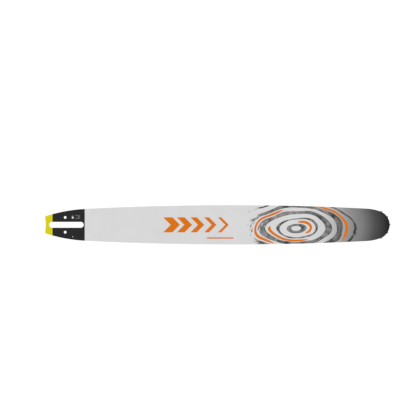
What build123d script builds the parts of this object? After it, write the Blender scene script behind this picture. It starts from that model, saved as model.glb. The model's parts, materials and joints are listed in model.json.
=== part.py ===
from build123d import *
import math
import os

# A laminated chainsaw guide bar with a roller sprocket nose, lying flat. Millimetres.
# X runs from the tail to the nose, Y across the bar and Z up through the three plies.
# The origin is the stud slot's centre, on the lower clamping face.

# Plies
side_plate_thickness = 1.6
groove_width = 1.6  # the core's thickness, which suits the chain's drive links
groove_depth = 7.5
core_tail_setback = 1.5  # from the hollow of the tail's end to the core
rail_chamfer = 0.35

# Outline: places along the bar, from the tail to the nose
tail_wall = 8.6  # from the slot's end back to the tail's corners
heel_run = 3.3  # from the slot's other end to the heel, where the flank ends
crown_x = 345.0  # the widest place
nose_x = 633.5  # the sprocket's axis
toe_run = 17.5  # from the toe, where the edge begins to round the nose, to the sprocket's axis

# Outline: half widths across the bar
nose_radius = 29.5
toe_rise = 3.7  # the toe's half width over the nose's radius
heel_half = 32.7
crown_rise = 7.6  # the crown's half width over the heel's
tail_fall = 15.5  # the heel's half width over the tail's
tail_hollow = 2.0  # how far the tail's end curves inwards
tail_corner_radius = 4.0

# Openings for the saw's studs, chain tensioner and oil pump
slot_length = 71.2
slot_width = 12.0
tensioner_x = -2.4
tensioner_y = 15.1
tensioner_diameter = 5.7
oil_x = 13.0
oil_hole_y = 14.9
oil_hole_diameter = 3.4
oil_channel_width = 2.0
oil_port_lift = 1.7  # from the groove's floor to the port's middle
oil_port_diameter = 1.8

# Weight windows in the core
window_count = 4
window_clamp_land = 36.0  # solid core between the slot and the first window
window_nose_land = 14.0  # solid core behind the sprocket
window_groove_land = 10.0  # solid core under the groove's floor
window_rib = 12.0
window_corner_radius = 7.0

# Nose sprocket
tooth_count = 11
tooth_reach = 2.0  # how far the tips stand out of the rails
tooth_depth = 9.6
tooth_land = 1.6  # width of a tooth at its tip
tooth_tip_chamfer = 0.4
gullet_radius = 4.2
sprocket_side_clearance = 0.075  # to each side plate
sprocket_seat_clearance = 1.6  # between tooth tips and core
seat_horn_cut = 2.5  # length taken off the core's sharp tips beside the seat

# Roller bearing and its riveted hub
hub_radius = 10.0
roller_diameter = 3.5
roller_clearance = 0.04  # to the hub, and to the sprocket
roller_gap = 0.08  # least gap between neighbours
rivet_count = 3
rivet_circle_radius = 6.0
rivet_diameter = 3.6

# Sizes that follow from those above
tail_x = -slot_length / 2 - tail_wall
heel_x = slot_length / 2 + heel_run
toe_x = nose_x - toe_run
toe_half = nose_radius + toe_rise
crown_half = heel_half + crown_rise
tail_half = heel_half - tail_fall
core_z = side_plate_thickness
upper_plate_z = core_z + groove_width
bar_thickness = upper_plate_z + side_plate_thickness
running_thickness = groove_width - 2 * sprocket_side_clearance
running_z = core_z + sprocket_side_clearance
roller_circle_radius = hub_radius + roller_clearance + roller_diameter / 2
sprocket_bore_radius = hub_radius + roller_diameter + 2 * roller_clearance
tooth_tip_radius = nose_radius + tooth_reach
tooth_root_radius = tooth_tip_radius - tooth_depth
seat_radius = tooth_tip_radius + sprocket_seat_clearance
nose_centre = Vector(nose_x, 0)


def nose_tangent_point(toe_arc):
    """Where the arc that carries on smoothly from the toe runs into the nose circle."""
    toe = toe_arc @ 1
    inward = (toe_arc.arc_center - toe).normalized()
    from_nose = toe - nose_centre
    shoulder_radius = (nose_radius**2 - from_nose.length**2) / (2 * (inward.dot(from_nose) + nose_radius))
    shoulder_centre = toe + inward * shoulder_radius
    return nose_centre + (nose_centre - shoulder_centre).normalized() * nose_radius


def upper_edge():
    """The bar's upper edge as four arcs that flow into each other: flank, back, front and shoulder."""
    crown = Vector(crown_x, crown_half)
    back = TangentArc(crown, (heel_x, heel_half), tangent=(-1, 0))
    flank = TangentArc(back @ 1, (tail_x, tail_half), tangent=back % 1)
    front = TangentArc(crown, (toe_x, toe_half), tangent=(1, 0))
    shoulder = TangentArc(front @ 1, nose_tangent_point(front), tangent=front % 1)
    return [flank, back, front, shoulder]


def inset_arc(arc, inset):
    """The same arc drawn nearer to its centre, which lies inside the bar."""
    ends = [arc @ at + (arc.arc_center - arc @ at).normalized() * inset for at in (0, 1)]
    return TangentArc(*ends, tangent=arc % 0)


def both_sides(arcs):
    """The arcs of the upper edge and their mirror images on the lower one."""
    return arcs + [arc.mirror(Plane.XZ) for arc in arcs]


def across(point):
    """The same point on the bar's other edge."""
    return Vector(point.X, -point.Y)


def plate_outline():
    """The outline of a side plate, whose edge is the chain's rail."""
    flank, back, front, shoulder = upper_edge()
    nose_start = shoulder @ 1
    tail_corner = flank @ 1
    nose = ThreePointArc(nose_start, nose_centre + (nose_radius, 0), across(nose_start))
    tail = ThreePointArc(tail_corner, (tail_x + tail_hollow, 0), across(tail_corner))
    outline = make_face(both_sides([flank, back, front, shoulder]) + [nose, tail])
    return fillet(outline.vertices().group_by(Axis.X)[0], tail_corner_radius)


def inset_outline(inset):
    """The area that keeps its distance from both rails, cut square at the tail and at the nose."""
    arcs = [inset_arc(arc, inset) for arc in upper_edge()]
    tail_corner = arcs[0] @ 1
    nose_corner = arcs[-1] @ 1
    ends = [Line(corner, across(corner)) for corner in (tail_corner, nose_corner)]
    return make_face(both_sides(arcs) + ends)


def strip(start_x, end_x):
    """A strip right across the bar."""
    return Pos((start_x + end_x) / 2, 0) * Rectangle(end_x - start_x, 2 * crown_half)


def saw_openings():
    """The stud slot and the two tensioner holes, which go through all three plies."""
    slot = SlotOverall(slot_length, slot_width)
    holes = [Pos(tensioner_x, side * tensioner_y) * Circle(tensioner_diameter / 2) for side in (1, -1)]
    return slot + holes


def oil_hole():
    """The oil hole above the slot, which goes through all three plies."""
    return Pos(oil_x, oil_hole_y) * Circle(oil_hole_diameter / 2)


def oil_channel():
    """A slot in the core from the oil hole out past the upper groove's floor."""
    length = crown_half - oil_hole_y
    return Pos(oil_x, oil_hole_y + length / 2) * Rectangle(oil_channel_width, length)


def oil_port():
    """A small hole straight into the lower groove, just clear of its floor. It oils the bar turned over."""
    floor = inset_arc(upper_edge()[0], groove_depth)
    floor_y = floor.arc_center.Y + math.sqrt(floor.radius**2 - (oil_x - floor.arc_center.X) ** 2)
    return Pos(oil_x, -floor_y - oil_port_lift) * Circle(oil_port_diameter / 2)


def core_windows():
    """Windows in the core, with round corners and ribs between them."""
    field = inset_outline(groove_depth + window_groove_land)
    first_x = slot_length / 2 + window_clamp_land
    last_x = nose_x - seat_radius - window_nose_land
    pitch = (last_x - first_x + window_rib) / window_count
    window_length = pitch - window_rib
    windows = []
    for index in range(window_count):
        start_x = first_x + index * pitch
        window = field & strip(start_x, start_x + window_length)
        windows.append(offset(offset(window, -window_corner_radius), window_corner_radius))
    return windows


def hub_rivets():
    """Solid rivets that fill their holes and are ground flush with both side plates."""
    rivet = Cylinder(rivet_diameter / 2, bar_thickness)
    middle = Pos(nose_x, 0, bar_thickness / 2)
    places = PolarLocations(rivet_circle_radius, rivet_count, start_angle=180 / rivet_count)
    return [middle * place * rivet for place in places]


def side_plate(outer_side, rivets):
    """One side plate: the upper one faces up (outer_side 1), the lower one down (outer_side -1)."""
    openings = saw_openings() + oil_hole() + oil_port()
    blank = extrude(plate_outline(), side_plate_thickness)
    outer_face = blank.faces().sort_by(Axis.Z)[-1 if outer_side > 0 else 0]
    blank = chamfer(outer_face.outer_wire().edges(), rail_chamfer)
    plate = blank - extrude(openings, side_plate_thickness)
    base_z = upper_plate_z if outer_side > 0 else 0
    return Pos(0, 0, base_z) * plate - rivets


def core_plate():
    """The middle ply: the groove's floor, the sprocket's seat, the oil channel and the windows."""
    outline = inset_outline(groove_depth) - Pos(nose_centre) * Circle(seat_radius)
    horn_x = outline.bounding_box().max.X
    tail_end_x = tail_x + tail_hollow + core_tail_setback
    outline &= strip(tail_end_x, horn_x - seat_horn_cut)
    openings = [saw_openings(), oil_hole(), oil_channel()]
    profile = outline - openings - core_windows()
    return Pos(0, 0, core_z) * extrude(profile, groove_width)


def gullet():
    """The hollow between two teeth: a round bottom with straight flanks that open outwards."""
    half_pitch = math.pi / tooth_count
    mouth_angle = half_pitch - math.asin(tooth_land / 2 / tooth_tip_radius)
    mouth = Vector(tooth_tip_radius * math.cos(mouth_angle), tooth_tip_radius * math.sin(mouth_angle))
    bottom_x = tooth_root_radius + gullet_radius
    bottom = Pos(bottom_x, 0) * Circle(gullet_radius)
    to_mouth = mouth - Vector(bottom_x, 0)
    lean = math.atan2(to_mouth.Y, to_mouth.X) + math.acos(gullet_radius / to_mouth.length)
    touch = Vector(bottom_x + gullet_radius * math.cos(lean), gullet_radius * math.sin(lean))
    past_tip = touch + (mouth - touch) * 2
    flanks = make_face(Polyline(touch, past_tip, across(past_tip), across(touch), close=True))
    return bottom + flanks


def nose_sprocket():
    """The toothed star on its roller track, with one tooth pointing along the bar."""
    half_pitch = 180 / tooth_count
    gullets = [place * gullet() for place in PolarLocations(0, tooth_count, start_angle=half_pitch)]
    star = Circle(tooth_tip_radius) - gullets
    tips = [v for v in star.vertices() if abs(Vector(v).length - tooth_tip_radius) < tooth_tip_chamfer / 10]
    star = chamfer(tips, tooth_tip_chamfer)
    profile = star - Circle(sprocket_bore_radius)
    return Pos(nose_x, 0, running_z) * extrude(profile, running_thickness)


def sprocket_hub(rivets):
    """The disc between the side plates that the rollers run on."""
    hub = Pos(nose_x, 0, core_z + groove_width / 2) * Cylinder(hub_radius, groove_width)
    return hub - rivets


def needle_rollers():
    """A full ring of rollers between the hub and the sprocket."""
    roller_pitch = roller_diameter + roller_gap
    roller_count = math.floor(math.pi / math.asin(roller_pitch / 2 / roller_circle_radius))
    roller = Cylinder(roller_diameter / 2, running_thickness)
    middle = Pos(nose_x, 0, core_z + groove_width / 2)
    return [middle * place * roller for place in PolarLocations(roller_circle_radius, roller_count)]


rivet_solids = hub_rivets()
nodes = {
    "upper_side_plate": side_plate(1, rivet_solids),
    "core_plate": core_plate(),
    "lower_side_plate": side_plate(-1, rivet_solids),
    "nose_sprocket": nose_sprocket(),
    "sprocket_hub": sprocket_hub(rivet_solids),
    "hub_rivets": Compound(children=rivet_solids),
}
for number, roller in enumerate(needle_rollers(), start=1):
    nodes[f"needle_roller_{number:02d}"] = roller

os.makedirs("parts", exist_ok=True)
for name, shape in nodes.items():
    export_step(shape, f"parts/{name}.step")
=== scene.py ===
"""Dresses a chainsaw guide bar: painted and printed side plates, nose sprocket, rollers and stage."""

import json
import math
from functools import cached_property

import bmesh
import bpy
from bpy.props import FloatProperty, FloatVectorProperty, IntProperty, PointerProperty
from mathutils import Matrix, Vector


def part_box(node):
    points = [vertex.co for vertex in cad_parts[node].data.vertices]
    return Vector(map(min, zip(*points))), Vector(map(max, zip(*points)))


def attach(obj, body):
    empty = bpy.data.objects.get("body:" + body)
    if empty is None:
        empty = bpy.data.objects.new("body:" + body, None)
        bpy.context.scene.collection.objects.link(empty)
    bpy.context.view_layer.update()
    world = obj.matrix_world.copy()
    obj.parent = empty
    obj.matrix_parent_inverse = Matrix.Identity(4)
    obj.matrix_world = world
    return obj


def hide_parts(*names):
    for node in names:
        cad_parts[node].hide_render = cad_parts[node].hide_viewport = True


bl_info = {
    "name": "Chainsaw guide bar",
    "version": (1, 0, 0),
    "blender": (4, 5, 0),
    "location": "3D View > Sidebar > Guide bar",
    "description": "Dresses a sprocket nosed chainsaw guide bar with paint, print and ground steel",
    "category": "Object",
}

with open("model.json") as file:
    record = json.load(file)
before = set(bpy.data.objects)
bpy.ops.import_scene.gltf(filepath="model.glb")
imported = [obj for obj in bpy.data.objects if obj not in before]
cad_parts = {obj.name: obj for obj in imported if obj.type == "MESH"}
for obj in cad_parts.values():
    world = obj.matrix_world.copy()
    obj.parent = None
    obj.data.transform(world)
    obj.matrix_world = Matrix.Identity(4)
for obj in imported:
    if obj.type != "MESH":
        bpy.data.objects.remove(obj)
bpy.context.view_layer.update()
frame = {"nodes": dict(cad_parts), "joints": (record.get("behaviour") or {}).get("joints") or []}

MM = 0.001
WHITE = (1, 1, 1, 1)

# What the frame says about the bar, in metres
upper_low, upper_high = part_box("upper_side_plate")
lower_low, lower_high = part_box("lower_side_plate")
sprocket_low, sprocket_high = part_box("nose_sprocket")
roller_low, roller_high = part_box("needle_roller_01")
joints = {joint["name"]: joint for joint in frame["joints"]}
nose_axis = Vector(joints["sprocket_spin"]["pos_m"])
roller_nodes = sorted(name for name in frame["nodes"] if name.startswith("needle_roller"))

# Straight pieces in each kind of round stretch. A circle has a multiple of 4, for the slot's half circles
CIRCLE_PIECES = 48
EDGE_PIECES = 4
ROLLER_EDGE_PIECES = 3
GULLET_PIECES = 14
TIP_PIECES = 5
TRACK_PIECES = 6
BEVEL_PIECES = 3

# Edges that turn by more than these angles are bevelled or drawn sharp
BEVEL_ANGLE = math.radians(50)
SHARP_ANGLE = math.radians(40)

# Material slots of a side plate
PAINT, RAIL, BARE = range(3)

# Screen levels of the grey as it darkens to the nose, by the share of the fade's length
FADE_LEVELS = {
    0.17: 204,
    0.3: 180,
    0.39: 168,
    0.48: 146,
    0.6: 129,
    0.65: 122,
    0.7: 109,
    0.8: 78,
    0.91: 52,
    1.0: 4,
}

# For each orange stroke, how many rings lie inside it and which way from the pith it faces, in radians
ACCENTS = {1: 0.3, 2: -2.2, 3: 3.0, 4: 0.6}

# How often grinding marks repeat along each axis. They run along an axis where that is seldom
ALONG_RAIL = (0.02, 0.02, 6)
ALONG_BAR = (0.05, 1, 1)
ALONG_AXIS = (1, 1, 0.1)

# Kinds of bare steel: screen level, roughness where it is smoothest, and grinding marks
STEELS = {
    "Ground rail": (150, 0.28, ALONG_RAIL),
    "Bare sheet": (120, 0.4, ALONG_BAR),
    "Core sheet": (128, 0.42, ALONG_BAR),
    "Hub steel": (170, 0.2, ALONG_AXIS),
    "Hardened steel": (96, 0.32, ALONG_AXIS),
    "Polished steel": (200, 0.12, ALONG_AXIS),
}


def length(name, description, millimetres):
    """A property for a length, written in millimetres and kept in metres."""
    return FloatProperty(
        name=name, description=description, default=millimetres * MM, unit="LENGTH", precision=4
    )


def amount(name, description, default, least=0):
    """A property for a plain number."""
    return FloatProperty(name=name, description=description, default=default, min=least)


def number_of(name, description, default, least=1):
    """A property for a number of like things."""
    return IntProperty(name=name, description=description, default=default, min=least)


def linear(level):
    """Screen level from 0 to 255 as linear light, by the sRGB curve."""
    share = level / 255
    return share / 12.92 if share <= 0.04045 else ((share + 0.055) / 1.055) ** 2.4


def colour(name, description, red, green, blue):
    """A property for a colour, written as screen levels and kept as linear light."""
    return FloatVectorProperty(
        name=name,
        description=description,
        default=(linear(red), linear(green), linear(blue), 1),
        size=4,
        min=0,
        max=1,
        subtype="COLOR",
    )


class PlateSizes(bpy.types.PropertyGroup):
    """Outline, openings and edges of the side plates."""

    tail_wall: length("Tail wall", "From the slot's end back to the tail's corners", 8.6)
    tail_fall: length("Tail fall", "The heel's half width over the tail's", 15.5)
    tail_hollow: length("Tail hollow", "How far the tail's end curves inwards", 2.0)
    tail_corner: length("Tail corner", "Radius of the tail's corners", 4.0)
    heel_run: length("Heel run", "From the slot's front end to the heel", 3.3)
    heel_half: length("Heel half width", "Half the bar's width at the heel", 32.7)
    crown_x: length("Crown place", "From the slot's middle to the widest place", 345.0)
    toe_run: length("Toe run", "From the toe to the sprocket's axis", 17.5)
    toe_rise: length("Toe rise", "The toe's half width over the nose's radius", 3.7)
    slot_length: length("Slot length", "Stud slot, end to end", 71.2)
    slot_width: length("Slot width", "Stud slot, side to side", 12.0)
    tensioner_x: length("Tensioner place", "Tensioner holes along the bar", -2.4)
    tensioner_y: length("Tensioner offset", "Tensioner holes from the middle line", 15.1)
    tensioner_diameter: length("Tensioner hole", "Diameter of the tensioner holes", 5.7)
    oil_x: length("Oil place", "Oil hole and port along the bar", 13.0)
    oil_hole_y: length("Oil hole offset", "Oil hole from the middle line", 14.9)
    oil_hole_diameter: length("Oil hole", "Diameter of the oil hole", 3.4)
    oil_port_y: length("Oil port offset", "Oil port from the middle line", -24.47)
    oil_port_diameter: length("Oil port", "Diameter of the oil port", 1.8)
    rivet_circle: length("Rivet circle", "Radius that the rivets stand on", 6.0)
    rivet_diameter: length("Rivet", "Diameter of the rivets", 3.6)
    rivet_count: number_of("Rivets", "Rivets through the hub", 3)
    rail_rounding: length("Rail rounding", "Radius of the rail's outer edge", 0.35)
    hole_rounding: length("Hole rounding", "Radius at the rim of each opening", 0.12)
    outline_step: length("Outline step", "Longest straight piece of a curved edge", 9.0)
    outline_turn: FloatProperty(
        name="Outline turn",
        description="Largest turn between two straight pieces of a curved edge",
        default=math.radians(3),
        subtype="ANGLE",
    )


class NoseSizes(bpy.types.PropertyGroup):
    """Sprocket and rollers in the nose."""

    tooth_count: number_of("Teeth", "Teeth of the sprocket", 11, least=3)
    tooth_depth: length("Tooth depth", "From the tip circle to the root circle", 9.6)
    tooth_land: length("Tooth land", "Width of a tooth at its tip", 1.6)
    tip_rounding: length("Tip rounding", "Length taken by the round corners of a tip", 0.5)
    gullet_radius: length("Gullet radius", "Radius at the bottom of a gullet", 4.2)
    bore_clearance: length("Bore clearance", "From the rollers to the sprocket's bore", 0.04)
    sprocket_edge: length("Sprocket edge", "Rounding of the sprocket's edges", 0.12)
    sprocket_seam: length("Sprocket seam", "Largest gap over which neighbouring teeth are joined", 0.001)
    roller_edge: length("Roller edge", "Rounding of a roller's ends", 0.2)


class PaintFields(bpy.types.PropertyGroup):
    """Where one coat of paint ends and the next begins, and the printed shapes."""

    yellow_end: length("Yellow end", "Front end of the yellow field", -28.4)
    black_end: length("Black end", "Front end of the black field", 37.8)
    fade_start: length("Fade start", "Where the grey starts to darken", 505.0)
    fade_end: length("Fade end", "Where the nose is darkest", 663.0)
    fade_radius: length("Fade radius", "Radius of the fade's curved fronts", 73.0)
    soft_edge: length("Soft edge", "Width over which a printed edge turns", 0.25)
    mist: amount("Mist", "How far the sprayed coat's tone varies", 0.09)
    mist_size: length("Mist size", "Size of the patches in the sprayed coat", 40.0)
    chevron_start: length("Chevron start", "Back of the first chevron, on the middle line", 214.0)
    chevron_pitch: length("Chevron pitch", "From one chevron to the next", 28.0)
    chevron_stroke: length("Chevron stroke", "Thickness of the first chevron along the bar", 19.0)
    chevron_thinning: length("Chevron thinning", "Stroke lost from one chevron to the next", 3.0)
    chevron_half: length("Chevron half height", "From the middle line to a chevron's end", 15.4)
    chevron_count: number_of("Chevrons", "Chevrons in the row", 5)
    rule_start: length("Rule start", "Back end of the thin rule", 288.0)
    rule_end: length("Rule end", "Front end of the thin rule", 343.0)
    rule_y: length("Rule offset", "The thin rule from the middle line", -27.0)
    rule_half: length("Rule half width", "Half the thin rule's width", 1.3)
    drop_radius: length("Drop radius", "Round part of the oil drop sign", 3.1)
    drop_tip: length("Drop tip", "From the oil hole to the tip of the drop sign", 6.1)
    groove_sign_start: length("Groove sign start", "Back end of the groove sign", 17.9)
    groove_sign_floor: length("Groove sign floor", "Bottom of the groove in the sign", 23.2)
    groove_sign_end: length("Groove sign end", "Front end of the groove sign", 28.1)
    groove_sign_y: length("Groove sign offset", "Groove sign from the middle line", 16.1)
    groove_sign_half: length("Groove sign half height", "Half the groove sign's height", 4.1)
    groove_sign_gap: length("Groove sign gap", "Half the width of the groove in the sign", 2.0)


class RingPrint(bpy.types.PropertyGroup):
    """The printed growth rings near the nose."""

    pith_x: length("Pith place", "Middle of the rings along the bar", 470.0)
    pith_y: length("Pith offset", "Middle of the rings from the middle line", -7.0)
    stretch: amount("Stretch", "Length of a ring over its height", 2.1, least=0.1)
    count: number_of("Rings", "Rings round the pith", 5)
    pitch: length("Ring pitch", "From one ring to the next, across the bar", 12.6)
    thin: amount("Thin", "Half the thinnest stroke over the pitch", 0.10)
    thick: amount("Thick", "Half of what a stroke may gain over the pitch", 0.17)
    swell: amount("Swell", "How far a stroke swells over the pitch", 0.2)
    swell_run: length("Swell run", "From one swelling of a stroke to the next", 30.0)
    stroke_edge: amount("Stroke edge", "Softness of a stroke's edge over the pitch", 0.03)
    wobble: length("Wobble", "How far the rings wander", 9.0)
    bend: length("Bend", "From one bend of a ring to the next", 77.0)
    cloud: length("Cloud", "Size of the patches in the wash", 15.0)
    mottle: amount("Mottle", "Contrast of the patches in the wash", 3.2)
    pool: amount("Pool", "How much darker the wash dries at a stroke's rim", 0.3)
    pool_power: amount("Pool power", "How closely that darkening keeps to the rim", 6.0)
    bristle: length("Bristle", "Width of a brush mark", 0.9)
    bristle_run: length("Bristle run", "Length of a brush mark", 9.0)
    bare_mark: amount("Bare mark", "Level of the brush marks under which no ink lies", 0.25)
    bare_edge: amount("Bare edge", "Span of that level over which the ink thins out", 0.1)
    print_start: length("Print start", "Back end of the rings", 388.0)
    print_end: length("Print end", "Front end of the rings", 599.0)
    ragged: length("Ragged ends", "How unevenly the rings run dry", 110.0)
    end_edge: length("End edge", "Softness of the rings' ends", 3.0)
    accent_width: length("Accent width", "Width of an orange stroke", 4.8)
    accent_edge: length("Accent edge", "Softness of an orange stroke's edge", 0.3)
    accent_end: amount("Accent end", "Cosine of half the turn that an orange stroke takes", 0.4)
    accent_taper: amount("Accent taper", "Gain in that cosine until its width is full", 1 / 3)


class PaintColours(bpy.types.PropertyGroup):
    """Colours of the paint and of the print."""

    grey: colour("Grey", "Body of the bar", 216, 216, 216)
    yellow: colour("Yellow", "End of the tail", 217, 205, 0)
    black: colour("Black", "Tail round the slot", 31, 31, 31)
    orange: colour("Orange", "Printed accents", 218, 113, 0)
    sign: colour("Sign", "Signs on the black tail", 88, 88, 88)
    ring_dark: colour("Dark ring", "Ink of the rings where it lies thick", 52, 53, 56)
    ring_light: colour("Light ring", "Ink of the rings where it lies thin", 188, 187, 184)


class SurfaceFinish(bpy.types.PropertyGroup):
    """Grain and gloss of the paint, and grinding marks of the bare steel."""

    relief: length("Relief", "Height of the grain and of the grinding marks", 0.02)
    paint_roughness: amount("Paint roughness", "Roughness of the smoothest paint", 0.42)
    paint_gloss: amount("Paint gloss", "Specular level of the paint", 0.18)
    grain: length("Grain", "Size of the paint's grain", 1.1111)
    grain_roughness: amount("Grain roughness", "What the grain adds to the roughness", 0.1)
    grain_bump: amount("Grain bump", "Strength of the grain's relief", 0.3)
    mark: length("Mark", "Width of a grinding mark", 1.0)
    mark_contrast: amount("Mark contrast", "Contrast of the grinding marks", 2.2)
    mark_roughness: amount("Mark roughness", "What the grinding marks add to the roughness", 0.2)
    mark_bump: amount("Mark bump", "Strength of the grinding marks' relief", 0.4)
    patch: length("Patch", "Size of the patches on bare steel", 16.667)
    patch_contrast: amount("Patch contrast", "Contrast of the patches on bare steel", 0.6)
    dark_share: amount("Dark share", "The darkest steel's level over the middle one", 0.72)
    light_share: amount("Light share", "The lightest steel's level over the middle one", 1.12)


class StageSizes(bpy.types.PropertyGroup):
    """Camera, floor and lights."""

    view_x: length("View place", "Middle of the picture along the bar", 286.4)
    view_y: length("View offset", "Middle of the picture across the bar", 38.6)
    view_width: length("View width", "Width of the picture at the bar's upper face", 844.6)
    lens: amount("Lens", "Focal length in millimetres", 200, least=1)
    floor_size: length("Floor size", "Side of the floor", 40000.0)
    floor_gap: length("Floor gap", "Hairline under the bar", 0.05)
    floor_shade: amount("Floor shade", "Share of the light that the floor throws back", 0.15)
    floor_roughness: amount("Floor roughness", "Roughness of the floor", 0.9)
    floor_glow: amount("Floor glow", "Light that the floor gives by itself", 0.94)
    sky: amount("Sky", "Strength of the light from all round", 0.5)
    lamp_count: number_of("Lamps", "Soft boxes round the bar", 4)
    lamp_distance: length("Lamp distance", "From the bar's middle out to a soft box", 1600.0)
    lamp_height: length("Lamp height", "From the bar's lower face up to a soft box", 1600.0)
    lamp_size: length("Lamp size", "Side of a soft box", 1400.0)
    lamp_power: amount("Lamp power", "Power of a soft box in watts", 10)


class Wire:
    """A socket of a node tree. Arithmetic on wires adds Math nodes to that tree.

    A wire without a socket only starts new nodes.
    """

    def __init__(self, tree, socket=None):
        self.tree = tree
        self.socket = socket

    def node(self, kind, settings=None, inputs=None, output=0):
        """Add a node, set it up, feed its sockets and return one of its outputs."""
        made = self.tree.nodes.new(kind)
        for name, value in (settings or {}).items():
            if name == "stops":
                set_stops(made.color_ramp.elements, value)
            else:
                setattr(made, name, value)
        for key, value in (inputs or {}).items():
            if isinstance(value, Wire):
                self.tree.links.new(value.socket, made.inputs[key])
            else:
                made.inputs[key].default_value = value
        return Wire(self.tree, made.outputs[output])

    def math(self, operation, *values, clamp=False):
        """A Math node on this wire and more values."""
        settings = {"operation": operation, "use_clamp": clamp}
        return self.node("ShaderNodeMath", settings, dict(enumerate((self, *values))))

    def __add__(self, other):
        return self.math("ADD", other)

    def __sub__(self, other):
        return self.math("SUBTRACT", other)

    def __rsub__(self, other):
        return (self * -1).math("ADD", other)

    def __mul__(self, other):
        return self.math("MULTIPLY", other)

    def __truediv__(self, other):
        return self.math("DIVIDE", other)

    def __floordiv__(self, other):
        return (self / other).math("FLOOR")

    def __mod__(self, other):
        return self.math("FLOORED_MODULO", other)

    def __abs__(self):
        return self.math("ABSOLUTE")

    # Sums and products are the same either way round
    __radd__ = __add__
    __rmul__ = __mul__

    def most(self, other):
        """The larger of two values."""
        return self.math("MAXIMUM", other)

    def diagonal(self, other):
        """The length of the diagonal over this leg and another at right angles to it."""
        return (self * self + other * other).math("SQRT")

    def below(self, edge, soft):
        """1 where the value is under the edge and 0 over it, turning over a soft width."""
        return ((edge - self) / soft).math("ADD", 0.5, clamp=True)

    def above(self, edge, soft):
        """1 where the value is over the edge and 0 under it, turning over a soft width."""
        return ((self - edge) / soft).math("ADD", 0.5, clamp=True)

    def blend_colours(self, share, first, second, blend):
        """A Mix node that brings a share from 0 to 1 of the second colour into the first."""
        # A Mix node has sockets for every kind of data: 6 and 7 take colours, and output 2 gives one
        settings = {"data_type": "RGBA", "blend_type": blend}
        return self.node("ShaderNodeMix", settings, {0: share, 6: first, 7: second}, output=2)

    def mix(self, first, second, blend="MIX"):
        """The first colour where this wire is 0 and the second, or a blend with it, where it is 1."""
        return self.blend_colours(self, first, second, blend)

    def shaded(self, share):
        """This colour, darker or lighter by a share that varies about 1."""
        return self.blend_colours(1.0, self, share, "MULTIPLY")


def set_stops(elements, stops):
    """Give a colour ramp its stops, as pairs of place and colour."""
    while len(elements) < len(stops):
        elements.new(1)
    for element, (place, shade) in zip(elements, stops):
        element.position = place
        element.color = shade


class Surface:
    """A new material, with wires for the place on the object and one shader.

    On the lower side of the bar (side -1) Y runs the other way, which turns a print over.
    """

    def __init__(self, name, side=1):
        self.side = side
        self.material = bpy.data.materials.new(name)
        self.material.use_nodes = True
        self.tree = self.material.node_tree
        self.shader = self.tree.nodes["Principled BSDF"]
        self.start = Wire(self.tree)

    @cached_property
    def place(self):
        """The place on the object, as a vector in metres."""
        return self.start.node("ShaderNodeTexCoord", output="Object")

    @cached_property
    def x(self):
        """The place along the bar."""
        return self.start.node("ShaderNodeSeparateXYZ", inputs={0: self.place}, output="X")

    @cached_property
    def y(self):
        """The place across the bar."""
        return self.start.node("ShaderNodeSeparateXYZ", inputs={0: self.place}, output="Y") * self.side

    def noise(self, size, repeats=(1, 1, 1), detail=3.0, roughness=0.5):
        """Cloudy noise from 0 to 1 in patches of one size, which may repeat more often along an axis."""
        place = self.start.node("ShaderNodeMapping", inputs={"Vector": self.place, "Scale": repeats})
        inputs = {"Vector": place, "Scale": 1 / size, "Detail": detail, "Roughness": roughness}
        return self.start.node("ShaderNodeTexNoise", inputs=inputs, output="Fac")

    def feed(self, **values):
        """Set or link sockets of the shader. A socket's name is written with underscores."""
        for name, value in values.items():
            socket = self.shader.inputs[name.replace("_", " ")]
            if isinstance(value, Wire):
                self.tree.links.new(value.socket, socket)
            else:
                socket.default_value = value

    def bump(self, height, depth, strength):
        """Lift the surface by a height wire, over a depth in metres."""
        inputs = {"Strength": strength, "Distance": depth, "Height": height}
        self.feed(Normal=self.start.node("ShaderNodeBump", inputs=inputs, output="Normal"))


def grey_shade(level):
    """An opaque grey of one screen level."""
    return (linear(level),) * 3 + (1,)


def nose_fade(surface, fields, colours):
    """The body's grey, which darkens to black towards the nose and a little sooner at the rails."""
    span = fields.fade_end - fields.fade_start
    bow = surface.y * surface.y / (2 * fields.fade_radius)
    share = (surface.x + bow - fields.fade_start) / span
    stops = [(0.0, tuple(colours.grey))]
    stops += [(place, grey_shade(level)) for place, level in FADE_LEVELS.items()]
    return surface.start.node("ShaderNodeValToRGB", {"stops": stops}, {"Fac": share}, output="Color")


def chevron_row(surface, fields):
    """A row of chevrons that point to the nose and grow thinner on the way."""
    soft = fields.soft_edge
    along = surface.x + abs(surface.y) - fields.chevron_start
    number = along // fields.chevron_pitch
    stroke = fields.chevron_stroke - number * fields.chevron_thinning
    row_length = fields.chevron_count * fields.chevron_pitch
    strokes = (along % fields.chevron_pitch).below(stroke, soft)
    in_row = along.above(0, soft) * along.below(row_length, soft)
    return strokes * in_row * abs(surface.y).below(fields.chevron_half, soft)


def thin_rule(surface, fields):
    """A thin printed line with round ends."""
    half_length = (fields.rule_end - fields.rule_start) / 2 - fields.rule_half
    middle = (fields.rule_end + fields.rule_start) / 2
    past_end = (abs(surface.x - middle) - half_length).most(0)
    off_line = surface.y - fields.rule_y
    return past_end.diagonal(off_line).below(fields.rule_half, fields.soft_edge)


def oil_drop(surface, plates, fields):
    """A drop round the oil hole, with its tip towards the rail and sides tangent to its round part."""
    soft = fields.soft_edge
    aside = surface.x - plates.oil_x
    upward = surface.y - plates.oil_hole_y
    slope = fields.drop_radius / math.sqrt(fields.drop_tip**2 - fields.drop_radius**2)
    half_width = (fields.drop_tip - upward) * slope
    touch = fields.drop_radius**2 / fields.drop_tip
    tip = abs(aside).below(half_width, soft) * upward.above(touch, soft)
    return aside.diagonal(upward).below(fields.drop_radius, soft).most(tip)


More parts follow.
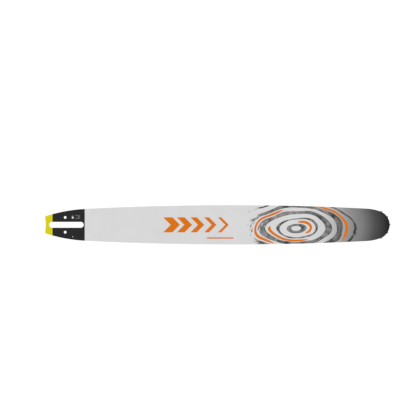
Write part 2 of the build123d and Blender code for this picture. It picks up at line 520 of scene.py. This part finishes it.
def groove_sign(surface, fields):
    """A small sign of the chain groove in section: a block with a notch in its back."""
    soft = fields.soft_edge
    off_middle = abs(surface.y - fields.groove_sign_y)
    before_start = surface.x.below(fields.groove_sign_start, soft)
    before_floor = surface.x.below(fields.groove_sign_floor, soft)
    before_end = surface.x.below(fields.groove_sign_end, soft)
    block = off_middle.below(fields.groove_sign_half, soft) * (before_end - before_start)
    notch = off_middle.below(fields.groove_sign_gap, soft) * before_floor
    return block * (1 - notch)


class RingPlace:
    """Where a point lies among the growth rings, seen from the pith, and the stroke of its ring."""

    def __init__(self, surface, rings):
        aside = (surface.x - rings.pith_x) / rings.stretch
        upward = surface.y - rings.pith_y
        wander = (surface.noise(rings.bend, detail=1) - 0.5) * (2 * rings.wobble)
        self.angle = upward.math("ARCTAN2", aside)
        self.reach = aside.diagonal(upward) + wander
        self.number = self.reach // rings.pitch
        settings = {"noise_dimensions": "1D"}
        chance = surface.start.node("ShaderNodeTexWhiteNoise", settings, {"W": self.number})
        swell = (surface.noise(rings.swell_run, detail=0) - 0.5) * rings.swell
        self.half_stroke = rings.thin + chance * rings.thick + swell
        self.off_stroke = abs(self.reach / rings.pitch - self.number - 0.5)


def brush_marks(surface, rings, place):
    """Streaks along the rings from 0 to 1, of one length and width on small rings and large ones."""
    marks_in_radius = (place.number + 0.5) * (rings.pitch / rings.bristle_run)
    along_ring = {
        "X": place.angle.math("COSINE") * marks_in_radius,
        "Y": place.angle.math("SINE") * marks_in_radius,
        "Z": place.reach / rings.bristle,
    }
    spot = surface.start.node("ShaderNodeCombineXYZ", inputs=along_ring)
    return surface.start.node("ShaderNodeTexNoise", inputs={"Vector": spot, "Scale": 1.0, "Detail": 4.0})


def ring_ink(surface, rings, place, marks):
    """1 where the rings' ink lies: in the strokes, up to ragged ends, but not in bare brush marks."""
    middle = (rings.print_start + rings.print_end) / 2
    half_length = (rings.print_end - rings.print_start) / 2
    ragged = (marks - 0.5) * rings.ragged
    strokes = place.off_stroke.below(place.half_stroke, rings.stroke_edge)
    printed = (abs(surface.x - middle) + ragged).below(half_length, rings.end_edge)
    counted = place.number.below(rings.count - 0.5, 1)
    inked = marks.above(rings.bare_mark, rings.bare_edge)
    return strokes * printed * counted * inked


def ring_wash(surface, rings, place, marks, colours):
    """The colour of the rings' ink, a mottled wash that is darker along a stroke's rim."""
    cloud = surface.noise(rings.cloud, detail=6, roughness=0.7)
    rim = (place.off_stroke / place.half_stroke).math("POWER", rings.pool_power)
    lightness = (cloud - 0.5) * rings.mottle + marks - rim * rings.pool
    return lightness.mix(colours.ring_dark, colours.ring_light)


def accent_stroke(rings, place, rings_inside, facing):
    """An orange stroke part of the way round some rings, of even width and with tapered ends."""
    # A step in reach is longer along the bar than across it, so the slope brings it back to a true length
    lengthwise = place.angle.math("COSINE") / rings.stretch
    crosswise = place.angle.math("SINE")
    slope = lengthwise.diagonal(crosswise)
    off_line = abs(place.reach - rings_inside * rings.pitch) / slope
    from_end = (place.angle - facing).math("COSINE") - rings.accent_end
    full = from_end.math("DIVIDE", rings.accent_taper, clamp=True)
    taper = full * (2 - full)
    soft = rings.accent_edge
    return off_line.below(taper * ((rings.accent_width + soft) / 2) - soft / 2, soft)


def growth_rings(surface, rings, coat, colours):
    """Growth rings of a log, brushed in a mottled grey wash, with orange strokes between them."""
    place = RingPlace(surface, rings)
    marks = brush_marks(surface, rings, place)
    wash = ring_wash(surface, rings, place, marks, colours)
    coat = ring_ink(surface, rings, place, marks).mix(coat, wash, "MULTIPLY")
    for rings_inside, facing in ACCENTS.items():
        coat = accent_stroke(rings, place, rings_inside, facing).mix(coat, colours.orange)
    return coat


def printed_coat(scene, surface):
    """The paint's colour: grey with its print, then the black tail with its signs and its yellow end."""
    fields = scene.guide_bar_fields
    colours = scene.guide_bar_colours
    coat = nose_fade(surface, fields, colours)
    coat = growth_rings(surface, scene.guide_bar_rings, coat, colours)
    accents = chevron_row(surface, fields).most(thin_rule(surface, fields))
    coat = accents.mix(coat, colours.orange)
    coat = surface.x.below(fields.black_end, fields.soft_edge).mix(coat, colours.black)
    signs = oil_drop(surface, scene.guide_bar_plates, fields).most(groove_sign(surface, fields))
    coat = signs.mix(coat, colours.sign)
    coat = surface.x.below(fields.yellow_end, fields.soft_edge).mix(coat, colours.yellow)
    return coat.shaded(surface.noise(fields.mist_size) * fields.mist + (1 - fields.mist / 2))


def side_paint(scene, name, side):
    """The paint and print of one side plate. The lower plate (side -1) has it turned over."""
    finish = scene.guide_bar_finish
    surface = Surface(name, side)
    coat = printed_coat(scene, surface)
    grain = surface.noise(finish.grain, detail=2)
    roughness = finish.paint_roughness + grain * finish.grain_roughness
    surface.feed(Base_Color=coat, Roughness=roughness, Specular_IOR_Level=finish.paint_gloss)
    surface.bump(grain, finish.relief, finish.grain_bump)
    return surface.material


def ground_steel(scene, name):
    """One kind of bare steel, with fine grinding marks along one direction."""
    finish = scene.guide_bar_finish
    shade, roughness, direction = STEELS[name]
    surface = Surface(name)
    marks = surface.noise(finish.mark, direction, detail=4)
    patches = surface.noise(finish.patch, detail=2)
    lightness = (patches - 0.5) * finish.patch_contrast + (marks - 0.5) * finish.mark_contrast + 0.5
    tone = lightness.mix(grey_shade(shade * finish.dark_share), grey_shade(shade * finish.light_share))
    surface.feed(Base_Color=tone, Metallic=1.0, Roughness=roughness + marks * finish.mark_roughness)
    surface.bump(marks, finish.relief, finish.mark_bump)
    return surface.material


def even_shares(pieces):
    """Shares from 0 to 1 that part a stretch into equal pieces."""
    return [index / pieces for index in range(pieces + 1)]


def round_point(radius, turn):
    """The point on a circle round the origin at a turn from the X axis."""
    return radius * Vector((math.cos(turn), math.sin(turn)))


def quarter_round(radius, pieces):
    """A round edge from its wall to its flat face, as pairs of inset and drop."""
    turns = [math.pi / 2 * share for share in even_shares(pieces)]
    return [(radius * (1 - math.cos(turn)), radius * (1 - math.sin(turn))) for turn in turns]


class Arc:
    """A round stretch of an outline, turned about its centre from a start to an end point."""

    def __init__(self, centre, start, end):
        self.centre = centre
        self.radius = (start - centre).length
        self.start_angle = math.atan2(start.y - centre.y, start.x - centre.x)
        turn = math.atan2(end.y - centre.y, end.x - centre.x) - self.start_angle
        self.turn = (turn + math.pi) % math.tau - math.pi

    def point(self, share):
        """The point at a share of the way."""
        return self.centre + round_point(self.radius, self.start_angle + self.turn * share)

    def heading(self, share):
        """The direction of travel at a share of the way."""
        spoke = self.point(share) - self.centre
        return Vector((-spoke.y, spoke.x)).normalized() * math.copysign(1, self.turn)

    def turned_back(self):
        """The same arc, run the other way."""
        return Arc(self.centre, self.point(1), self.point(0))

    def points(self, sizes):
        """Points along the arc, close enough to look round, without its end."""
        by_turn = abs(self.turn) / sizes.outline_turn
        by_length = abs(self.turn) * self.radius / sizes.outline_step
        pieces = math.ceil(max(by_turn, by_length))
        return [self.point(share) for share in even_shares(pieces)[:-1]]


def arc_onwards(start, heading, end):
    """The arc that leaves a start point along a heading and runs to the end point."""
    chord = end - start
    to_side = Vector((-heading.y, heading.x))
    return Arc(start + to_side * (chord.length_squared / (2 * chord.dot(to_side))), start, end)


def shoulder_arc(front, nose_centre, nose_radius):
    """The arc that carries on from the front arc and runs smoothly into the nose's circle."""
    toe = front.point(1)
    inward = (front.centre - toe).normalized()
    from_nose = toe - nose_centre
    radius = (nose_radius**2 - from_nose.length_squared) / (2 * (inward.dot(from_nose) + nose_radius))
    centre = toe + inward * radius
    return Arc(centre, toe, nose_centre + (nose_centre - centre).normalized() * nose_radius)


def corner_arc(hollow, flank, radius):
    """The round corner between the tail's hollow end and the flank."""
    gap = flank.centre - hollow.centre
    to_hollow = hollow.radius + radius
    to_flank = flank.radius - radius
    along = (to_hollow**2 - to_flank**2 + gap.length_squared) / (2 * gap.length)
    aside = math.sqrt(to_hollow**2 - along**2)
    unit = gap.normalized()
    centre = hollow.centre + unit * along + Vector((-unit.y, unit.x)) * aside
    start = hollow.centre + (centre - hollow.centre).normalized() * hollow.radius
    end = flank.centre + (centre - flank.centre).normalized() * flank.radius
    return Arc(centre, start, end)


def upper_edge(sizes):
    """The arcs of the bar's upper edge, from the middle of the tail to the tip of the nose."""
    nose_centre = nose_axis.xy
    nose_radius = upper_high.x - nose_axis.x
    crown = Vector((sizes.crown_x, upper_high.y))
    heel = Vector((sizes.slot_length / 2 + sizes.heel_run, sizes.heel_half))
    tail = Vector((-sizes.slot_length / 2 - sizes.tail_wall, sizes.heel_half - sizes.tail_fall))
    toe = Vector((nose_axis.x - sizes.toe_run, nose_radius + sizes.toe_rise))
    back = arc_onwards(crown, Vector((-1, 0)), heel)
    flank = arc_onwards(heel, back.heading(1), tail)
    front = arc_onwards(crown, Vector((1, 0)), toe)
    shoulder = shoulder_arc(front, nose_centre, nose_radius)
    nose = Arc(nose_centre, shoulder.point(1), nose_centre + Vector((nose_radius, 0)))
    hollow_radius = (tail.y**2 + sizes.tail_hollow**2) / (2 * sizes.tail_hollow)
    hollow_middle = Vector((tail.x + sizes.tail_hollow, 0))
    hollow = Arc(hollow_middle - Vector((hollow_radius, 0)), hollow_middle, tail)
    corner = corner_arc(hollow, flank, sizes.tail_corner)
    hollow = Arc(hollow.centre, hollow_middle, corner.point(0))
    flank = Arc(flank.centre, corner.point(1), heel)
    return [hollow, corner, flank, back.turned_back(), front, shoulder, nose]


def plate_outline(sizes):
    """The outline of a side plate, clockwise seen from above."""
    upper = [point for arc in upper_edge(sizes) for point in arc.points(sizes)]
    tip = Vector((upper_high.x, 0))
    lower = [Vector((point.x, -point.y)) for point in reversed(upper[1:])]
    return upper + [tip] + lower


def round_hole(x, y, diameter):
    """A circle, counterclockwise seen from above."""
    turns = [math.tau * share for share in even_shares(CIRCLE_PIECES)[:-1]]
    return [Vector((x, y)) + round_point(diameter / 2, turn) for turn in turns]


def stud_slot(sizes):
    """The slot's straight sides and round ends, counterclockwise seen from above."""
    radius = sizes.slot_width / 2
    reach = sizes.slot_length / 2 - radius
    ring = round_hole(0, 0, sizes.slot_width)
    quarter = len(ring) // 4
    front = ring[-quarter:] + ring[: quarter + 1]
    back = [Vector((-point.x, -point.y)) for point in front]
    shift = Vector((reach, 0))
    return [point + shift for point in front] + [point - shift for point in back]


def plate_openings(sizes):
    """All openings of a side plate. The two plates have the same."""
    holes = [
        stud_slot(sizes),
        round_hole(sizes.oil_x, sizes.oil_hole_y, sizes.oil_hole_diameter),
        round_hole(sizes.oil_x, sizes.oil_port_y, sizes.oil_port_diameter),
    ]
    for edge in (1, -1):
        holes.append(round_hole(sizes.tensioner_x, edge * sizes.tensioner_y, sizes.tensioner_diameter))
    for index in range(sizes.rivet_count):
        turn = math.tau * (index + 0.5) / sizes.rivet_count
        rivet = nose_axis.xy + round_point(sizes.rivet_circle, turn)
        holes.append(round_hole(rivet.x, rivet.y, sizes.rivet_diameter))
    return holes


def into_metal(loop):
    """At each point of a loop, the direction into the plate, which lies on the loop's right."""
    directions = []
    for index in range(len(loop)):
        onward = loop[(index + 1) % len(loop)] - loop[index - 1]
        directions.append(Vector((onward.y, -onward.x)).normalized())
    return directions


def edge_section(thickness, rounding):
    """A plate's edge in section, from the inner face to the outer one, as inset and rise."""
    return [(0, 0)] + [(inset, thickness - drop) for inset, drop in quarter_round(rounding, EDGE_PIECES)]


class BakeSheet:
    """A flat layout of one side plate, which lets its paint be baked to a sharp square picture.

    The painted face lies in strips one above the other, then the inner face at a small scale, then
    the walls in rows. Places on the sheet are in metres until fit() brings them into the square.
    """

    strips = 3
    inner_scale = 0.33
    gap = 1.5 * MM

    def __init__(self, mesh):
        self.layer = mesh.loops.layers.uv.new("OFBake")
        self.low = upper_low.xy
        self.strip_length = (upper_high.x - upper_low.x) / self.strips
        self.strip_height = upper_high.y - upper_low.y + self.gap
        self.row_start = 0.0
        self.row_floor = self.strip_height * (self.strips + self.inner_scale) + self.gap

    def lay(self, face, places):
        """Put the corners of a face at their places on the sheet."""
        for corner, place in zip(face.loops, places):
            corner[self.layer].uv = place

    def wall_stretch(self, run, height):
        """Room in the rows for a stretch of wall, as the place of its first corner."""
        if self.row_start + run > self.strip_length:
            self.row_start = 0.0
            self.row_floor += height + self.gap
        place = Vector((self.row_start, self.row_floor))
        self.row_start += run
        return place

    def cuts(self):
        """Where the painted face is cut into strips, along the bar."""
        return [self.low.x + self.strip_length * number for number in range(1, self.strips)]

    def lay_flat(self, face, material):
        """Put a flat face in its strip, or among the inner faces."""
        places = [corner.vert.co.xy - self.low for corner in face.loops]
        if material == PAINT:
            strip = (face.calc_center_median().x - self.low.x) // self.strip_length
            shift = Vector((-strip * self.strip_length, strip * self.strip_height))
            self.lay(face, [place + shift for place in places])
        else:
            shift = Vector((0, self.strips * self.strip_height))
            self.lay(face, [place * self.inner_scale + shift for place in places])

    def fit(self, mesh):
        """Scale the whole layout into the square from 0 to 1."""
        corners = [corner[self.layer] for face in mesh.faces for corner in face.loops]
        side = max(max(corner.uv) for corner in corners) + 2 * self.gap
        for corner in corners:
            corner.uv = (corner.uv + Vector((self.gap, self.gap))) / side


def bridge(mesh, line, next_line, closed=True):
    """Faces between two lines of points, and from their last points to their first if they are closed."""
    return [
        mesh.faces.new((line[index - 1], line[index], next_line[index], next_line[index - 1]))
        for index in range(0 if closed else 1, len(line))
    ]


def wall(mesh, sheet, loop, section, base_z, side, material):
    """The wall round a loop, with paint on its round edge. Returns its inner and outer ring of points."""
    rings = []
    directions = into_metal(loop)
    for inset, rise in section:
        places = [point + direction * inset for point, direction in zip(loop, directions)]
        rings.append([mesh.verts.new((place.x, place.y, base_z + side * rise)) for place in places])
    heights = [0.0]
    for point, next_point in zip(section, section[1:]):
        heights.append(heights[-1] + math.dist(point, next_point))
    runs = [(point - loop[index - 1]).length for index, point in enumerate(loop)]
    starts = [sheet.wall_stretch(run, heights[-1]) for run in runs]
    for step, (ring, next_ring) in enumerate(zip(rings, rings[1:])):
        low, high = heights[step], heights[step + 1]
        for face, start, run in zip(bridge(mesh, ring, next_ring), starts, runs):
            face.material_index = material if step == 0 else PAINT
            face.smooth = True
            corners = ((0, low), (run, low), (run, high), (0, high))
            sheet.lay(face, [start + Vector(corner) for corner in corners])
    return rings[0], rings[-1]


def cover(mesh, sheet, rings, material, cuts=()):
    """A flat face between an outer ring and the rings of its openings, cut across at some places."""
    pairs = [(ring[index - 1], point) for ring in rings for index, point in enumerate(ring)]
    made = bmesh.ops.triangle_fill(mesh, use_beauty=True, edges=[mesh.edges.get(pair) for pair in pairs])
    faces = [face for face in made["geom"] if isinstance(face, bmesh.types.BMFace)]
    for x in cuts:
        around = {part for face in faces for part in (*face.verts, *face.edges)}
        cut = bmesh.ops.bisect_plane(mesh, geom=[*faces, *around], plane_co=(x, 0, 0), plane_no=(1, 0, 0))
        faces = [part for part in cut["geom"] if isinstance(part, bmesh.types.BMFace)]
    for face in faces:
        face.material_index = material
        sheet.lay_flat(face, material)


def finished_mesh(name, mesh):
    """A plain mesh made from an edit mesh, which is freed."""
    data = bpy.data.meshes.new(name)
    mesh.to_mesh(data)
    mesh.free()
    return data


def show(name, data, materials):
    """A new object in the scene with a mesh and its materials."""
    piece = bpy.data.objects.new(name, data)
    bpy.context.scene.collection.objects.link(piece)
    for material in materials:
        data.materials.append(material)
    return piece


def side_plate_mesh(name, sizes, side):
    """One side plate: the upper one faces up (side 1), the lower one down (side -1)."""
    inner_z, outer_z = (upper_low.z, upper_high.z) if side > 0 else (lower_high.z, lower_low.z)
    thickness = abs(outer_z - inner_z)
    mesh = bmesh.new()
    sheet = BakeSheet(mesh)
    rail = edge_section(thickness, sizes.rail_rounding)
    rim = edge_section(thickness, sizes.hole_rounding)
    walls = [wall(mesh, sheet, plate_outline(sizes), rail, inner_z, side, RAIL)]
    for hole in plate_openings(sizes):
        walls.append(wall(mesh, sheet, hole, rim, inner_z, side, BARE))
    cover(mesh, sheet, [inner for inner, outer in walls], BARE)
    cover(mesh, sheet, [outer for inner, outer in walls], PAINT, sheet.cuts())
    bmesh.ops.recalc_face_normals(mesh, faces=mesh.faces)
    sheet.fit(mesh)
    return finished_mesh(name, mesh)


def ring_of_copies_tree():
    """Geometry Nodes that set copies of a mesh in a ring round an upright axis."""
    tree = bpy.data.node_groups.new("Ring of copies", "GeometryNodeTree")
    sockets = tree.interface
    sockets.new_socket("Geometry", in_out="OUTPUT", socket_type="NodeSocketGeometry")
    kinds = {
        "Geometry": "NodeSocketGeometry",
        "Count": "NodeSocketInt",
        "Centre": "NodeSocketVector",
        "Start angle": "NodeSocketFloat",
        "Merge distance": "NodeSocketFloat",
        "Material": "NodeSocketMaterial",
    }
    for name, kind in kinds.items():
        sockets.new_socket(name, in_out="INPUT", socket_type=kind)
    start = Wire(tree)
    given = tree.nodes.new("NodeGroupInput")
    wires = [Wire(tree, given.outputs[name]) for name in kinds]
    sector, count, centre, start_angle, merge, material = wires
    index = start.node("GeometryNodeInputIndex")
    turn = index * math.tau / count + start_angle
    euler = start.node("ShaderNodeCombineXYZ", inputs={"Z": turn})
    rotation = start.node("FunctionNodeEulerToRotation", inputs={0: euler})
    points = start.node("GeometryNodePoints", inputs={"Count": count, "Position": centre})
    inputs = {"Points": points, "Instance": sector, "Rotation": rotation}
    copies = start.node("GeometryNodeInstanceOnPoints", inputs=inputs)
    solid = start.node("GeometryNodeRealizeInstances", inputs={"Geometry": copies})
    joined = start.node("GeometryNodeMergeByDistance", inputs={"Geometry": solid, "Distance": merge})
    finished = start.node("GeometryNodeSetMaterial", inputs={"Geometry": joined, "Material": material})
    out = tree.nodes.new("NodeGroupOutput")
    tree.links.new(finished.socket, out.inputs["Geometry"])
    return tree


def ring_of_copies(name, sector, values, edge=None):
    """A piece made of copies of a sector round the nose's axis, as one plain mesh."""
    tree = bpy.data.node_groups.get("Ring of copies") or ring_of_copies_tree()
    piece = show(name, sector, [])
    ring = piece.modifiers.new("Ring of copies", "NODES")
    ring.node_group = tree
    for socket in tree.interface.items_tree:
        if socket.name in values:
            ring[socket.identifier] = values[socket.name]
    if edge:
        bevel = piece.modifiers.new("Edges", "BEVEL")
        bevel.width = edge
        bevel.segments = BEVEL_PIECES
        bevel.limit_method = "ANGLE"
        bevel.angle_limit = BEVEL_ANGLE
    graph = bpy.context.evaluated_depsgraph_get()
    data = bpy.data.meshes.new_from_object(piece.evaluated_get(graph))
    piece.modifiers.clear()
    piece.data = data
    data.name = name
    data.shade_smooth()
    data.set_sharp_from_angle(angle=SHARP_ANGLE)
    return piece


def tooth_profile(nose):
    """Half a gullet's outline, from its bottom on the X axis to the middle of a tooth's tip."""
    tip_radius = sprocket_high.x - nose_axis.x
    half_pitch = math.pi / nose.tooth_count
    corner = round_point(tip_radius, half_pitch - math.asin(nose.tooth_land / 2 / tip_radius))
    middle = round_point(tip_radius, half_pitch)
    centre = Vector((tip_radius - nose.tooth_depth + nose.gullet_radius, 0))
    to_corner = corner - centre
    lean = math.atan2(to_corner.y, to_corner.x) + math.acos(nose.gullet_radius / to_corner.length)
    turns = [math.pi + (lean - math.pi) * share for share in even_shares(GULLET_PIECES)]
    gullet = [centre + round_point(nose.gullet_radius, turn) for turn in turns]
    flank_end = corner + (gullet[-1] - corner).normalized() * nose.tip_rounding
    land_start = corner + (middle - corner).normalized() * nose.tip_rounding
    rounding = [
        flank_end * (1 - share) ** 2 + corner * 2 * share * (1 - share) + land_start * share**2
        for share in even_shares(TIP_PIECES)
    ]
    return gullet + rounding + [middle]


def sprocket_sector(nose):
    """One pitch of the sprocket, from tooth middle to tooth middle, open where its neighbours join."""
    half = tooth_profile(nose)
    profile = [Vector((point.x, -point.y)) for point in reversed(half[1:])] + half
    bore = roller_high.x - nose_axis.x + nose.bore_clearance
    half_pitch = math.pi / nose.tooth_count
    track = [round_point(bore, half_pitch * (2 * share - 1)) for share in even_shares(TRACK_PIECES)]
    half_height = (sprocket_high.z - sprocket_low.z) / 2
    levels = (-half_height, half_height)
    mesh = bmesh.new()
    rims = []
    for line in (profile, track):
        low, high = ([mesh.verts.new((point.x, point.y, level)) for point in line] for level in levels)
        bridge(mesh, low, high, closed=False)
        rims.append((low, high))
    for outer, inner in zip(*rims):
        mesh.faces.new(outer + inner[::-1])
    bmesh.ops.recalc_face_normals(mesh, faces=mesh.faces)
    return finished_mesh("sprocket_sector", mesh)


def roller_mesh(nose):
    """One roller at its place on the X axis, with round edges at both ends."""
    radius = (roller_high.y - roller_low.y) / 2
    half_height = (roller_high.z - roller_low.z) / 2
    edge = quarter_round(nose.roller_edge, ROLLER_EDGE_PIECES)
    upper = [(radius - inset, half_height - drop) for inset, drop in edge]
    section = [(reach, -rise) for reach, rise in reversed(upper)] + upper
    middle = (roller_low.x + roller_high.x) / 2 - nose_axis.x
    mesh = bmesh.new()
    rings = []
    for reach, rise in section:
        circle = round_hole(middle, 0, 2 * reach)
        rings.append([mesh.verts.new((point.x, point.y, rise)) for point in circle])
    for ring, next_ring in zip(rings, rings[1:]):
        bridge(mesh, ring, next_ring)
    mesh.faces.new(rings[0])
    mesh.faces.new(rings[-1])
    bmesh.ops.recalc_face_normals(mesh, faces=mesh.faces)
    return finished_mesh("roller", mesh)


def lay_floor(sizes):
    """A wide white floor that glows a little, as a light table does."""
    half = sizes.floor_size / 2
    level = -sizes.floor_gap
    mesh = bmesh.new()
    corners = [(-half, -half, level), (half, -half, level), (half, half, level), (-half, half, level)]
    mesh.faces.new([mesh.verts.new(corner) for corner in corners])
    surface = Surface("White floor")
    surface.feed(Base_Color=(sizes.floor_shade,) * 3 + (1,), Roughness=sizes.floor_roughness)
    surface.feed(Specular_IOR_Level=0.0, Emission_Color=WHITE, Emission_Strength=sizes.floor_glow)
    floor = show("floor", finished_mesh("floor", mesh), [surface.material])


def light_stage(scene, sizes):
    """Even light from the sky and from soft boxes round the bar."""
    world = bpy.data.worlds.new("Studio")
    world.use_nodes = True
    background = world.node_tree.nodes["Background"]
    background.inputs["Color"].default_value = WHITE
    background.inputs["Strength"].default_value = sizes.sky
    scene.world = world
    for index in range(sizes.lamp_count):
        lamp = bpy.data.lights.new(f"soft_box_{index + 1}", "AREA")
        lamp.shape = "SQUARE"
        lamp.size = sizes.lamp_size
        lamp.energy = sizes.lamp_power
        box = bpy.data.objects.new(lamp.name, lamp)
        place = round_point(sizes.lamp_distance, math.tau * (index + 0.5) / sizes.lamp_count)
        box.location = (sizes.view_x + place.x, place.y, sizes.lamp_height)
        aim = Vector((sizes.view_x, 0, 0)) - box.location
        box.rotation_euler = aim.to_track_quat("-Z", "Y").to_euler()
        box.visible_camera = False
        scene.collection.objects.link(box)


def aim_camera(scene, sizes):
    """A long lens high above the bar that looks straight down."""
    data = bpy.data.cameras.new("camera")
    data.lens = sizes.lens
    camera = bpy.data.objects.new("camera", data)
    height = upper_high.z + sizes.view_width * sizes.lens / data.sensor_width
    camera.location = (sizes.view_x, sizes.view_y, height)
    data.clip_end = 2 * height
    scene.collection.objects.link(camera)
    scene.camera = camera


class GUIDEBAR_OT_side_plates(bpy.types.Operator):
    """Make both side plates with their paint and print"""

    bl_idname = "guide_bar.side_plates"
    bl_label = "Side plates"

    def execute(self, context):
        scene = context.scene
        rail = ground_steel(scene, "Ground rail")
        bare = ground_steel(scene, "Bare sheet")
        for node, side in (("upper_side_plate", 1), ("lower_side_plate", -1)):
            name = node.replace("side_plate", "painted_plate")
            paint = side_paint(scene, name, side)
            data = side_plate_mesh(name, scene.guide_bar_plates, side)
            plate = show(name, data, [paint, rail, bare])
            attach(plate, "bar")
            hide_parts(node)
        return {"FINISHED"}


class GUIDEBAR_OT_nose_sprocket(bpy.types.Operator):
    """Make the toothed sprocket in the nose"""

    bl_idname = "guide_bar.nose_sprocket"
    bl_label = "Nose sprocket"

    def execute(self, context):
        scene = context.scene
        nose = scene.guide_bar_nose
        values = {
            "Count": nose.tooth_count,
            "Centre": nose_axis,
            "Start angle": math.pi / nose.tooth_count,
            "Merge distance": nose.sprocket_seam,
            "Material": ground_steel(scene, "Hardened steel"),
        }
        star = ring_of_copies("toothed_star", sprocket_sector(nose), values, edge=nose.sprocket_edge)
        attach(star, "sprocket")
        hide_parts("nose_sprocket")
        return {"FINISHED"}


class GUIDEBAR_OT_rollers(bpy.types.Operator):
    """Make the ring of needle rollers round the hub"""

    bl_idname = "guide_bar.rollers"
    bl_label = "Needle rollers"

    def execute(self, context):
        scene = context.scene
        values = {
            "Count": len(roller_nodes),
            "Centre": nose_axis,
            "Start angle": 0.0,
            "Merge distance": 0.0,
            "Material": ground_steel(scene, "Polished steel"),
        }
        ring = ring_of_copies("roller_set", roller_mesh(scene.guide_bar_nose), values)
        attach(ring, "roller_ring")
        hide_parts(*roller_nodes)
        return {"FINISHED"}


class GUIDEBAR_OT_inner_steel(bpy.types.Operator):
    """Finish the core, the hub and the rivets"""

    bl_idname = "guide_bar.inner_steel"
    bl_label = "Core, hub and rivets"

    def execute(self, context):
        scene = context.scene
        finishes = {
            "core_plate": ground_steel(scene, "Core sheet"),
            "sprocket_hub": ground_steel(scene, "Hub steel"),
            "hub_rivets": side_paint(scene, "Rivet paint", 1),
        }
        for node, material in finishes.items():
            data = frame["nodes"][node].data
            data.materials.clear()
            data.materials.append(material)
        return {"FINISHED"}


class GUIDEBAR_OT_stage(bpy.types.Operator):
    """Set up the floor, the light and the camera above the bar"""

    bl_idname = "guide_bar.stage"
    bl_label = "Stage"

    def execute(self, context):
        scene = context.scene
        sizes = scene.guide_bar_stage
        scene.view_settings.view_transform = "Standard"
        lay_floor(sizes)
        light_stage(scene, sizes)
        aim_camera(scene, sizes)
        return {"FINISHED"}


class GUIDEBAR_PT_sidebar(bpy.types.Panel):
    """Buttons for each group of pieces"""

    bl_idname = "GUIDEBAR_PT_sidebar"
    bl_label = "Guide bar"
    bl_space_type = "VIEW_3D"
    bl_region_type = "UI"
    bl_category = "Guide bar"

    def draw(self, context):
        for operator in OPERATORS:
            self.layout.operator(operator.bl_idname)


GROUPS = {
    "guide_bar_plates": PlateSizes,
    "guide_bar_nose": NoseSizes,
    "guide_bar_fields": PaintFields,
    "guide_bar_rings": RingPrint,
    "guide_bar_colours": PaintColours,
    "guide_bar_finish": SurfaceFinish,
    "guide_bar_stage": StageSizes,
}
OPERATORS = [
    GUIDEBAR_OT_side_plates,
    GUIDEBAR_OT_nose_sprocket,
    GUIDEBAR_OT_rollers,
    GUIDEBAR_OT_inner_steel,
    GUIDEBAR_OT_stage,
]


def register():
    """Add the properties, the operators and the panel to Blender."""
    for name, group in GROUPS.items():
        bpy.utils.register_class(group)
        setattr(bpy.types.Scene, name, PointerProperty(type=group))
    for entry in OPERATORS + [GUIDEBAR_PT_sidebar]:
        bpy.utils.register_class(entry)


def unregister():
    """Take them out again."""
    for entry in [GUIDEBAR_PT_sidebar] + OPERATORS[::-1]:
        bpy.utils.unregister_class(entry)
    for name, group in GROUPS.items():
        delattr(bpy.types.Scene, name)
        bpy.utils.unregister_class(group)


def main():
    """Build every piece and the stage."""
    register()
    bpy.ops.guide_bar.side_plates()
    bpy.ops.guide_bar.nose_sprocket()
    bpy.ops.guide_bar.rollers()
    bpy.ops.guide_bar.inner_steel()
    bpy.ops.guide_bar.stage()


if __name__ == "__main__":
    main()
